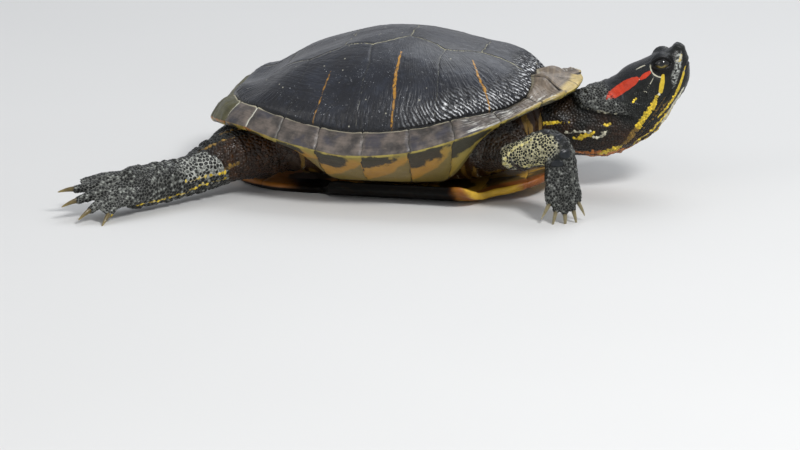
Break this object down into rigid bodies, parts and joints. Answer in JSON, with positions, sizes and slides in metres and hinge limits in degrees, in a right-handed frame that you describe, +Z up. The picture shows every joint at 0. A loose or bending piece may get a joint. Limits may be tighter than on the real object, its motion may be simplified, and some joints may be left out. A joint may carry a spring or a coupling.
{
  "type": "red-eared slider turtle",
  "caption": "Life-size still model of a basking pond turtle, neck stretched up and one hind leg stretched back, resting flat on its lower shell.",
  "frame": {"origin": "middle of the outline, on the floor under the shell", "axes": "+X from tail to snout, +Y to the turtle's left, +Z up"},
  "size_m": [0.3172, 0.2524, 0.0838],
  "materials": {
    "carapace": "glossy dark horn scutes with fine wrinkles and yellow-orange streaks",
    "plastron": "satin yellow to orange horn with dark blotches",
    "skin": "scaly dark olive skin with yellow stripes and a red patch behind the eye",
    "eye": "wet gloss",
    "claw": "satin horn"
  },
  "bodies": {
    "root": {"carapace": "carapace", "plastron": "plastron", "upper_arm_right": "skin", "forearm_right": "skin", "hand_right": "skin", "hand_right_claw_1": "claw", "hand_right_claw_2": "claw", "hand_right_claw_3": "claw", "hand_right_claw_4": "claw", "hand_right_claw_5": "claw", "upper_arm_left": "skin", "forearm_left": "skin", "hand_left": "skin", "hand_left_claw_1": "claw", "hand_left_claw_2": "claw", "hand_left_claw_3": "claw", "hand_left_claw_4": "claw", "hand_left_claw_5": "claw", "thigh_right": "skin", "shank_right": "skin", "foot_right": "skin", "foot_right_claw_1": "claw", "foot_right_claw_2": "claw", "foot_right_claw_3": "claw", "foot_right_claw_4": "claw", "thigh_left": "skin", "shank_left": "skin", "foot_left": "skin", "foot_left_claw_1": "claw", "foot_left_claw_2": "claw", "foot_left_claw_3": "claw", "foot_left_claw_4": "claw", "trunk": "skin", "neck": "skin", "tail": "skin", "head": "skin", "lower_jaw": "skin", "eye_left": "eye", "eye_right": "eye"}
  },
  "joints": []
}
